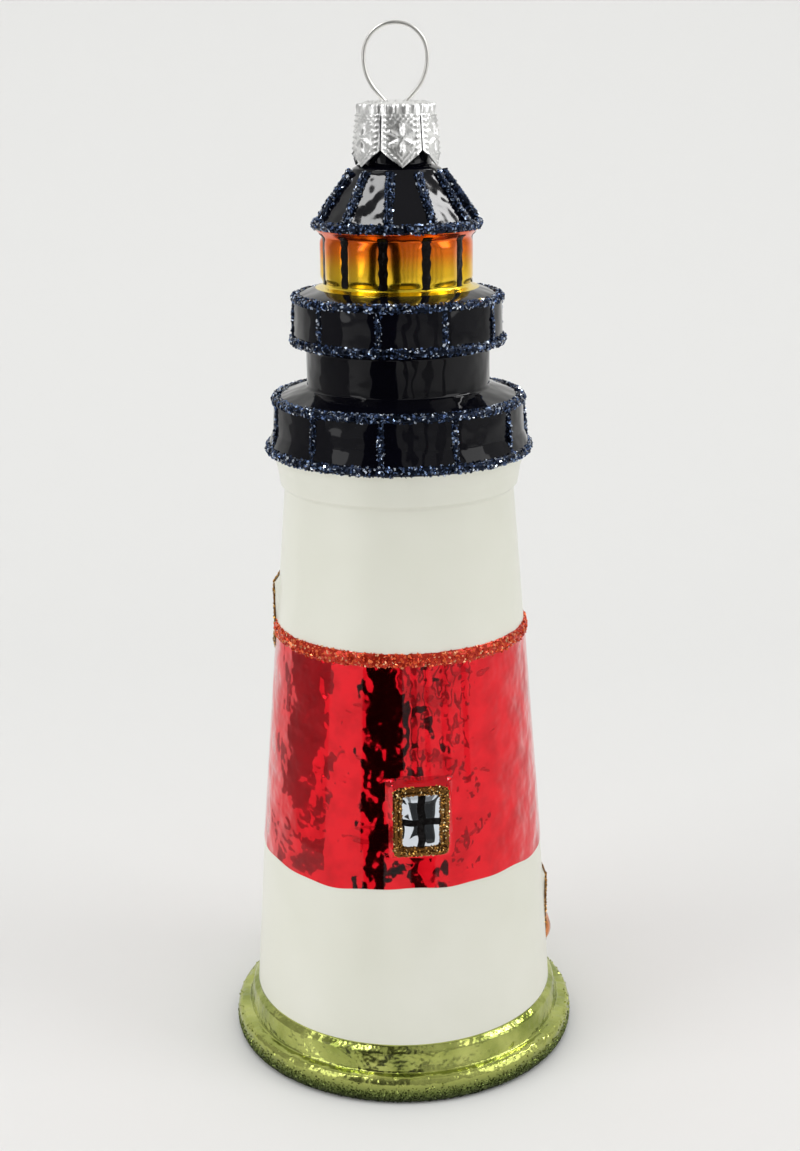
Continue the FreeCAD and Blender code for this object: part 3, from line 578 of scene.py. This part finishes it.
# %% Roof
roof = band(EAVE, ROOF_BLACK_TOP, azimuth=RIB_TURN + 180 / SIDES, spacing=0.5)
for v in roof.verts:
    up = v.co.z / MM
    side = from_middle(v.co, RIB_TURN)
    flat = math.cos(math.pi / SIDES) / math.cos(side * math.pi / SIDES)
    amount = smooth((up - EAVE_TOP) / 0.6) * smooth((ROOF_TOP + 0.6 - up) / 1.2)
    v.co.xy *= 1 + (flat - 1) * amount
cad_piece("roof_black_lacquer", roof, black_lacquer, smooth_angle=20)

# %% Lantern bars
bars = bmesh.new()
BAR_WIDTH = 1.3
bar_line = stretch(rounded(TOWER, LACQUER), LANTERN_FOOT + 0.35, LANTERN_TOP + 0.5, 0.8)
for k in range(SIDES):
    azimuth = PANE_TURN + 180 / SIDES + k * 360 / SIDES
    rows = len(bar_line) - 1
    made = bmesh.ops.create_grid(bars, x_segments=2, y_segments=rows, size=1.0)
    for v in made["verts"]:
        row = round((v.co.y + 1) / 2 * rows)
        half = BAR_WIDTH / 2 * (1 + 0.22 * math.sin(2.1 * row + k) + 0.25 * row / rows)
        v.co = at(azimuth, bar_line[row].x + 0.16 - 0.06 * abs(v.co.x), bar_line[row].y, v.co.x * half)
bars.normal_update()
bmesh.ops.solidify(bars, geom=bars.faces[:], thickness=0.35 * MM)
cad_piece("lantern_bar_paint", bars, brush_black)

# %% [markdown]
# ## Glitter
# Glass glitter is thousands of thin flakes that stick up from a line of glue at all angles, and
# each flake is a small mirror. A bump texture can't sparkle like that, so the flakes are real:
# Geometry Nodes scatters a small five-sided flake over a dark bead of glue, turns each one by a
# random tilt, and stores a random number on it, which its material reads as its colour.


# %% Glitter helpers
def glitter(name, stops, metallic=0.85, roughness=0.16):
    """Flakes of many tints of one colour."""
    made, nodes, links, shader = finish(name, stops[0][1], metallic, roughness)
    pick = nodes.new("ShaderNodeAttribute")
    pick.attribute_name = "flake"
    links.new(ramp(nodes, links, pick.outputs["Fac"], stops), shader.inputs["Base Color"])
    return made


navy_glitter = glitter("navy_glitter", [
    (0.0, (0.007, 0.011, 0.022)), (0.26, (0.020, 0.034, 0.078)), (0.50, (0.060, 0.098, 0.21)),
    (0.76, (0.22, 0.31, 0.50)), (1.0, (0.86, 0.92, 1.0))])
red_glitter = glitter("orange_red_glitter", [
    (0.0, (0.50, 0.028, 0.012)), (0.35, (0.78, 0.070, 0.020)), (0.75, (0.97, 0.20, 0.06)),
    (1.0, (1.0, 0.62, 0.36))],
    metallic=0.55)
gold_glitter = glitter("gold_bronze_glitter", [
    (0.0, (0.16, 0.07, 0.015)), (0.35, (0.42, 0.20, 0.04)), (0.75, (0.72, 0.40, 0.09)),
    (1.0, (1.0, 0.84, 0.50))])
green_glitter = glitter("dark_green_glitter", [
    (0.0, (0.008, 0.014, 0.008)), (0.45, (0.025, 0.04, 0.018)), (0.85, (0.11, 0.15, 0.06)),
    (1.0, (0.60, 0.66, 0.36))])


def scatter_tree(name, per_square_mm, size, seed):
    """The node tree that scatters flakes on faces, as densely as their "shown" attribute says."""
    tree = bpy.data.node_groups.new(name, "GeometryNodeTree")
    tree.interface.new_socket("Geometry", in_out="INPUT", socket_type="NodeSocketGeometry")
    tree.interface.new_socket("Geometry", in_out="OUTPUT", socket_type="NodeSocketGeometry")
    make, link = tree.nodes.new, tree.links.new
    entry, leave = make("NodeGroupInput"), make("NodeGroupOutput")

    shown = make("GeometryNodeInputNamedAttribute")
    shown.data_type = "FLOAT"
    shown.inputs["Name"].default_value = "shown"
    density = make("ShaderNodeMath")
    density.operation = "MULTIPLY"
    density.inputs[1].default_value = per_square_mm / MM ** 2
    link(shown.outputs["Attribute"], density.inputs[0])
    points = make("GeometryNodeDistributePointsOnFaces")
    points.inputs["Seed"].default_value = seed
    link(entry.outputs[0], points.inputs["Mesh"])
    link(density.outputs[0], points.inputs["Density"])

    flake = make("GeometryNodeMeshCylinder")
    flake.inputs["Vertices"].default_value = 5
    flake.inputs["Radius"].default_value = size * MM / 2
    flake.inputs["Depth"].default_value = size * MM * 0.16

    tilt = make("FunctionNodeRandomValue")
    tilt.data_type = "FLOAT_VECTOR"
    tilt.inputs["Min"].default_value = (-0.95, -0.95, -3.14)
    tilt.inputs["Max"].default_value = (0.95, 0.95, 3.14)
    tilt.inputs["Seed"].default_value = seed + 1
    turn = make("FunctionNodeRotateRotation")
    turn.rotation_space = "LOCAL"
    link(points.outputs["Rotation"], turn.inputs["Rotation"])
    link(tilt.outputs["Value"], turn.inputs["Rotate By"])
    grade = make("FunctionNodeRandomValue")
    grade.data_type = "FLOAT"
    grade.inputs[2].default_value = 0.65
    grade.inputs[3].default_value = 1.25
    grade.inputs["Seed"].default_value = seed + 2
    place = make("GeometryNodeInstanceOnPoints")
    link(points.outputs["Points"], place.inputs["Points"])
    link(flake.outputs["Mesh"], place.inputs["Instance"])
    link(turn.outputs["Rotation"], place.inputs["Rotation"])
    link(grade.outputs[1], place.inputs["Scale"])

    pick = make("FunctionNodeRandomValue")
    pick.data_type = "FLOAT"
    pick.inputs["Seed"].default_value = seed + 3
    store = make("GeometryNodeStoreNamedAttribute")
    store.data_type = "FLOAT"
    store.domain = "INSTANCE"
    store.inputs["Name"].default_value = "flake"
    link(place.outputs["Instances"], store.inputs["Geometry"])
    link(pick.outputs[1], store.inputs["Value"])
    real = make("GeometryNodeRealizeInstances")
    link(store.outputs["Geometry"], real.inputs["Geometry"])
    second = make("GeometryNodeSetMaterialIndex")
    second.inputs["Material Index"].default_value = 1
    link(real.outputs["Geometry"], second.inputs["Geometry"])
    both = make("GeometryNodeJoinGeometry")
    link(entry.outputs[0], both.inputs["Geometry"])
    link(second.outputs["Geometry"], both.inputs["Geometry"])
    link(both.outputs["Geometry"], leave.inputs[0])
    return tree


def show_faces(bm, outward):
    """Marks the faces that flakes may lie on: outward(centre) points away from the coat."""
    shown = bm.faces.layers.float.new("shown")
    for face in bm.faces:
        face[shown] = 1.0 if face.normal.dot(outward(face.calc_center_median())) > -0.15 else 0.0


def glittered(name, bm, material, seed, per_square_mm=5.0, size=0.50, stands_for=True, under=None):
    """A bead of glue with its flakes, as one mesh. The bead may have a finish of its own."""
    made = cad_piece(name, bm, material) if stands_for else piece(name, bm, material)
    scatter = made.modifiers.new("flakes", "NODES")
    scatter.node_group = scatter_tree(f"{name} flakes", per_square_mm, size, seed)
    evaluated = made.evaluated_get(bpy.context.evaluated_depsgraph_get())
    whole = bpy.data.meshes.new_from_object(evaluated)
    made.modifiers.clear()
    plain_mesh = made.data
    made.data = whole
    bpy.data.meshes.remove(plain_mesh)
    whole.materials.clear()
    whole.materials.append(under or material)
    whole.materials.append(material)
    print(name, "with flakes", len(whole.polygons), "faces")
    return made


BEAD_CORNERS = 12


def ring_bead(r, z, across, up, lean):
    """A closed ring with an oval section, leaning in degrees."""
    loop = []
    for k in range(BEAD_CORNERS):
        t = math.tau * k / BEAD_CORNERS
        p = Matrix.Rotation(math.radians(lean), 2) @ Vector((across * math.cos(t), up * math.sin(t)))
        loop.append(Vector((r + p.x, z + p.y)))
    bm = spun(loop)
    jitter_bead(bm, 0.14)
    return bm


def jitter_bead(bm, amount):
    """Glue runs unevenly: a slow, repeatable wobble of a bead's points."""
    for v in bm.verts:
        x, y, z = v.co / MM
        wobble = math.sin(1.9 * x + 0.7 * z) * math.sin(2.3 * y - 0.4 * z) + 0.5 * math.sin(4.1 * (x + y))
        v.co += Vector((v.co.x, v.co.y, 0)).normalized() * wobble * amount * MM


def away_from_axis(tilt_up):
    """Outward and upward by a share, for show_faces."""
    def outward(centre):
        flat = Vector((centre.x, centre.y, 0)).normalized()
        return (flat + Vector((0, 0, tilt_up))).normalized()
    return outward


def sink_behind(bm, window):
    """Moves the part of a bead that meets a window inwards, so that the bead stops at its frame."""
    azimuth, width, _, _, face = WINDOWS[window]
    out, along = directions(azimuth)
    for v in bm.verts:
        if v.co.dot(out) > 0 and abs(v.co.dot(along)) < width / 2 * MM:
            v.co -= out * max(0.0, v.co.dot(out) - (face - 0.4) * MM)


# %% Ring beads
RINGS = {
    # name: (distance from axis, height, half across, half up, lean, upward share, glitter, seed)
    "eave_glitter": (13.05, 143.1, 0.72, 0.78, 0, 0.5, navy_glitter, 11),
    "upper_rail_glitter": (16.65, 131.45, 0.75, 0.62, -35, 0.9, navy_glitter, 21),
    "upper_edge_glitter": (17.1, 124.65, 0.62, 0.75, 0, -0.1, navy_glitter, 31),
    "lower_rail_glitter": (20.25, 114.95, 0.78, 0.64, -35, 0.9, navy_glitter, 41),
    "lower_edge_glitter": (21.5, 106.85, 0.66, 0.80, 0, -0.1, navy_glitter, 51),
    "red_band_glitter": (21.15, 75.7, 0.50, 1.20, 5, 0.1, red_glitter, 61),
}
for name, (r, z, across, up, lean, share, material, seed) in RINGS.items():
    bead = ring_bead(r, z, across, up, lean)
    if name == "red_band_glitter":
        sink_behind(bead, "side")
    show_faces(bead, away_from_axis(share))
    glittered(name, bead, material, seed)

# %% Rim glitter: it covers the outside of the rim and thins out upwards
RIM_TOP = 4.55
rim = band(FOOT_BARE, RIM_TOP, outside=0.19, inside=0.0, spacing=0.4)
show_faces(rim, away_from_axis(0.0))
shown = rim.faces.layers.float["shown"]
for face in rim.faces:
    up = face.calc_center_median().z / MM
    face[shown] *= 2.2 - 2.12 * smooth((up - 1.1) / 2.3)
# The bead under these flakes is the green lacquer with painted shade at the foot.
glittered("base_rim_glitter", rim, green_glitter, 71, per_square_mm=9.0, size=0.42, under=rim_lacquer_painted_shade)


# %% Straight beads: posts and roof ridges
def straight_bead(bm, start, end, radius):
    """Adds a round bar between two points to a bmesh."""
    run = end - start
    made = bmesh.ops.create_cone(bm, cap_ends=True, segments=10, radius1=radius * MM, radius2=radius * MM,
                                 depth=run.length)
    turn = run.to_track_quat("Z", "Y").to_matrix().to_4x4()
    bmesh.ops.transform(bm, verts=made["verts"], matrix=Matrix.Translation((start + end) / 2) @ turn)
    long_edges = [e for v in made["verts"] for e in v.link_edges if e.calc_length() > run.length * 0.9]
    bmesh.ops.subdivide_edges(bm, edges=list(set(long_edges)), cuts=8)


def bead_row(count, first, foot, head, radius):
    """Equal beads round the axis, from foot (r, z) to head (r, z)."""
    bm = bmesh.new()
    for k in range(count):
        azimuth = first + k * 360 / count
        straight_bead(bm, at(azimuth, *foot), at(azimuth, *head), radius)
    jitter_bead(bm, 0.08)
    bmesh.ops.recalc_face_normals(bm, faces=bm.faces)
    return bm


FIRST_RIB = RIB_TURN + 180 / SIDES
ROWS = {
    # name: (count, first azimuth, foot, head, radius, upward share, glitter, seed)
    "roof_rib_glitter": (SIDES, FIRST_RIB, (12.75, 143.9), (7.5, 151.3), 0.68, 0.8, navy_glitter, 81),
    "upper_post_glitter": (10, -10.4, (16.95, 125.0), (16.75, 130.9), 0.55, 0.0, navy_glitter, 91),
    "lower_post_glitter": (11, -7.7, (21.05, 107.4), (20.4, 114.3), 0.55, 0.0, navy_glitter, 101),
}
for name, (count, first, foot_end, head_end, radius, share, material, seed) in ROWS.items():
    row = bead_row(count, first, foot_end, head_end, radius)
    show_faces(row, away_from_axis(share))
    glittered(name, row, material, seed)


# %% [markdown]
# ## Windows and door
# On each window's face lie a silvered pane, a painted cross and a frame of gold glitter. The door
# has a frame and a copper panel. They are drawn flat, facing the front, and then turned and moved
# to the face.


# %% Window pieces
def facing(window, proud=0.0):
    """The matrix that takes x, z of a flat drawing to a window's face; y points inwards."""
    azimuth, _, bottom, height, face = WINDOWS[window]
    turn = Matrix.Rotation(math.radians(azimuth), 4, "Z")
    return turn @ Matrix.Translation(Vector((0, -(face + LACQUER + proud), bottom + height / 2)) * MM)


SHEET = 0.15  # a pane, a panel or a brush stroke
FRAME_CORNER, FRAME_SOFT_EDGE = 1.3, 0.28


def pillow(bm, pane, bulge, width, height, lift=0.0, wobble=0.0):
    """Adds a thin sheet cut, width by height, from a pane that bulges towards the front."""
    made = bmesh.ops.create_grid(bm, x_segments=16, y_segments=22, size=0.5)["verts"]
    for v in made:
        x, z = v.co.x * width, v.co.y * height
        depth = bulge * (1 - (2 * x / pane[0]) ** 4) * (1 - (2 * z / pane[1]) ** 4)
        sideways, upwards = wobble * math.sin(1.7 * z + 0.5), wobble * math.sin(1.3 * x)
        v.co = Vector((x + sideways, -depth - lift, z + upwards)) * MM
    bm.normal_update()
    bmesh.ops.solidify(bm, geom=list({f for v in made for f in v.link_faces}), thickness=SHEET * MM)
    return bm


def window_frame(window, border, thick):
    """A frame with a hole: a panel whose front and back are inset and joined."""
    _, width, _, height, _ = WINDOWS[window]
    bm = bmesh.new()
    bmesh.ops.create_grid(bm, x_segments=1, y_segments=1, size=0.5)
    bmesh.ops.transform(bm, verts=bm.verts, matrix=Matrix.Rotation(math.radians(90), 4, "X")
                        @ Matrix.Diagonal((width * MM, height * MM, 1, 1)))
    bmesh.ops.bevel(bm, geom=bm.verts[:], offset=FRAME_CORNER * MM, affect="VERTICES", segments=4,
                    profile=0.5, material=-1)
    bm.faces.ensure_lookup_table()
    middle = bm.faces[0]
    bmesh.ops.inset_region(bm, faces=[middle], thickness=border * MM, use_even_offset=True, use_boundary=True)
    bmesh.ops.delete(bm, geom=[middle], context="FACES")
    grown = bmesh.ops.extrude_face_region(bm, geom=bm.faces[:])["geom"]
    shift(bm, grown, (0, -thick * MM, 0))
    bmesh.ops.recalc_face_normals(bm, faces=bm.faces)
    front = [e for e in bm.edges
             if all(abs(v.co.y + thick * MM) < 1e-6 for v in e.verts) and e.calc_face_angle(0) > 1]
    bmesh.ops.bevel(bm, geom=front, offset=FRAME_SOFT_EDGE * MM, affect="EDGES", segments=2,
                    profile=0.5, material=-1)
    return bm


def to_face(bm, window, proud=0.0):
    """Moves a flat drawing to its window."""
    bmesh.ops.transform(bm, verts=bm.verts, matrix=facing(window, proud))
    return bm


BORDER, FRAME_THICK, PANE_BULGE, PANE_OVERLAP = 1.5, 0.42, 0.4, 0.3
UPRIGHT_STROKE, LEVEL_STROKE, STROKE_WOBBLE = 1.25, 1.1, 0.13
SILLS = {"side": (1.2, 3.6), "door": (2.0, 5.6)}  # how far out, and how high
for window, seed in (("front", 111), ("side", 121), ("door", 131)):
    azimuth, width, _, height, _ = WINDOWS[window]
    out, _ = directions(azimuth)
    pane_width, pane_height = width - 2 * BORDER, height - 2 * BORDER
    frame_bm = to_face(window_frame(window, BORDER, FRAME_THICK), window, -UNDERLAP)
    show_faces(frame_bm, lambda centre, out=out: out)
    node = f"{window}_window_glitter" if window != "door" else "door_glitter"
    glittered(node, frame_bm, gold_glitter, seed, per_square_mm=6.5, size=0.36)
    if window in SILLS:
        reach, sill_height = SILLS[window]
        sill = bmesh.new()
        bmesh.ops.create_uvsphere(sill, u_segments=24, v_segments=16, radius=MM)
        to_foot = Matrix.Translation((0, 0, (sill_height - height) / 2 * MM))
        bmesh.ops.transform(sill, verts=sill.verts,
                            matrix=to_foot @ Matrix.Diagonal((width * 0.46, reach, sill_height / 2, 1)))
        jitter_bead(to_face(sill, window), 0.10)
        if window == "side":
            show_faces(sill, lambda centre, out=out: out)
            glittered("side_window_sill", sill, gold_glitter, seed + 5, size=0.36, stands_for=False)
        else:
            piece("door_step", sill, copper_lacquer, slot="door_copper_lacquer")
    pane = (pane_width + PANE_OVERLAP, pane_height + PANE_OVERLAP)
    panel = to_face(pillow(bmesh.new(), pane, PANE_BULGE, *pane), window)
    if window == "door":
        cad_piece("door_copper_lacquer", panel, copper_lacquer)
        continue
    piece(f"{window}_window_pane", panel, mirror_glass, slot="silver_lining")
    cross = pillow(bmesh.new(), pane, PANE_BULGE, UPRIGHT_STROKE, pane_height, 0.07, STROKE_WOBBLE)
    pillow(cross, pane, PANE_BULGE, pane_width, LEVEL_STROKE, 0.08, STROKE_WOBBLE)
    to_face(cross, window)
    cad_piece(f"{window}_window_muntins", cross, brush_black)

# %% [markdown]
# ## Crown cap
# The cap is drawn from thin tinned sheet, slit into six petals and embossed with small beads and
# a six-armed star on each petal. A petal is a grid whose lower edge comes to a point. The star
# and the beads are a height added to its points, before the solidify operator makes it thick.

# %% Cap metal
cap_metal, nodes, links, shader = finish("embossed_tinned_sheet", (0.92, 0.92, 0.91), 1.0, 0.33)
links.new(ramp(nodes, links, noise(nodes, links, 900, 3.0),
               [(0.3, (0.85, 0.85, 0.84)), (0.7, (0.97, 0.97, 0.96))]),
          shader.inputs["Base Color"])
bump(nodes, links, shader, noise(nodes, links, 2500, 2.0), 0.00008)
wire_metal, nodes, links, shader = finish("drawn_steel_wire", (0.80, 0.79, 0.76), 1.0, 0.32)
bump(nodes, links, shader, noise(nodes, links, 1800, 2.0), 0.00004)

# %% Cap
CAP_TOP, CAP_TIP = 161.9, 152.15
CAP_TOP_RADIUS, CAP_TIP_RADIUS = 6.1, 7.0
CAP_SHEET, PETALS, PETAL_TURN = 0.24, 6, 8.0
SLIT_TOP, PETAL_POINT, SLIT = 160.3, 2.6, 0.25
EMBOSS, STAR_HEIGHT = 0.36, 156.6


def embossed(x, y):
    """Height of the pressed pattern at a place on a petal, in millimetres."""
    r, t = math.hypot(x, y), math.atan2(x, y)
    sector = (t + math.pi / 6) % (math.pi / 3) - math.pi / 6
    arm = math.exp(-((r * math.sin(sector)) / 0.24) ** 2) * smooth((1.9 - r) / 0.4) * smooth(r / 0.25)
    tip = math.exp(-(((r - 2.0) ** 2 + (r * sector) ** 2) / 0.10))
    row = math.exp(-(((abs(x) - 2.45) / 0.26) ** 2)) * (0.5 + 0.5 * math.cos(math.tau * y / 0.85))
    around_star = smooth((r - 2.3) / 0.3) * smooth((2.2 - abs(x)) / 0.2)
    scatter = math.sin(7.4 * x + 1.0) * math.sin(7.0 * y) * around_star
    return max(arm, tip, row, 0.7 * scatter, 0.0)


cap = bmesh.new()
ACROSS, DOWN = 30, 44
for k in range(PETALS):
    made = bmesh.ops.create_grid(cap, x_segments=ACROSS, y_segments=DOWN, size=0.5)
    azimuth = PETAL_TURN + k * 360 / PETALS
    for v in made["verts"]:
        side, down = 2 * v.co.x, 0.5 - v.co.y
        length = SLIT_TOP - CAP_TIP - PETAL_POINT * abs(side)
        z = SLIT_TOP - down * length
        r = CAP_TOP_RADIUS + (CAP_TIP_RADIUS - CAP_TOP_RADIUS) * (CAP_TOP - z) / (CAP_TOP - CAP_TIP)
        half = 180 / PETALS - math.degrees(SLIT / 2 / r) * smooth(down / 0.08)
        x = math.radians(side * half) * r
        edge = smooth((1 - abs(side)) / 0.14) * smooth(down / 0.05)
        r += EMBOSS * embossed(x, z - STAR_HEIGHT) * edge - 0.05 * (1 - edge)
        v.co = at(azimuth + side * half, r, z)
SHOULDER = ((6.22, SLIT_TOP), (6.12, 161.2), (6.02, 161.55), (5.75, 161.82), (5.35, CAP_TOP))
top_line = [Vector(p) for p in SHOULDER]
for k in range(20):
    r = 5.0 - 0.25 * k
    top_line.append(Vector((r, CAP_TOP + 0.35 * smooth(1 - r / 4.6))))
ring = [cap.verts.new(at(PETAL_TURN + 30, p.x, p.y)) for p in top_line]
rows = [cap.edges.new(pair) for pair in zip(ring, ring[1:])]
bmesh.ops.spin(cap, geom=ring + rows, cent=(0, 0, 0), axis=(0, 0, 1), dvec=(0, 0, 0), angle=math.tau,
               steps=PETALS * ACROSS, use_merge=True, use_duplicate=False)
SHOULDER_BEADS = 26
BEAD_RINGS = ((4.75, 22), (3.75, 17), (2.75, 12))  # distance from the axis, and how many beads
for v in cap.verts:
    r = math.hypot(v.co.x, v.co.y) / MM
    a = math.atan2(v.co.x, -v.co.y)
    if v.co.z / MM > 160.4 and r > 5.2:
        near = math.exp(-(((v.co.z / MM - 161.35) / 0.42) ** 2))
        bead = near * max(0.0, math.cos(SHOULDER_BEADS * a))
        v.co += Vector((math.sin(a), -math.cos(a), 0.8)) * 0.34 * bead * MM
    if v.co.z / MM > 161.85 and r < 5.2:
        for ring_radius, beads in BEAD_RINGS:
            near = math.exp(-(((r - ring_radius) / 0.34) ** 2))
            v.co.z += 0.32 * near * max(0.0, math.cos(beads * a)) * MM
bmesh.ops.remove_doubles(cap, verts=cap.verts, dist=0.02 * MM)
rim_edges = [e for e in cap.edges if e.is_boundary and e.verts[0].co.z / MM > 161 and
             math.hypot(e.verts[0].co.x, e.verts[0].co.y) / MM < 0.5]
bmesh.ops.contextual_create(cap, geom=rim_edges)
bmesh.ops.recalc_face_normals(cap, faces=cap.faces)
bmesh.ops.solidify(cap, geom=cap.faces[:], thickness=CAP_SHEET * MM)
cad_piece("crown_cap", cap, cap_metal, body="cap", smooth_angle=50)

# %% Hanger: the CAD wire is right as it is
for material_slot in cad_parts["hanger_wire"].material_slots:
    material_slot.material = wire_metal
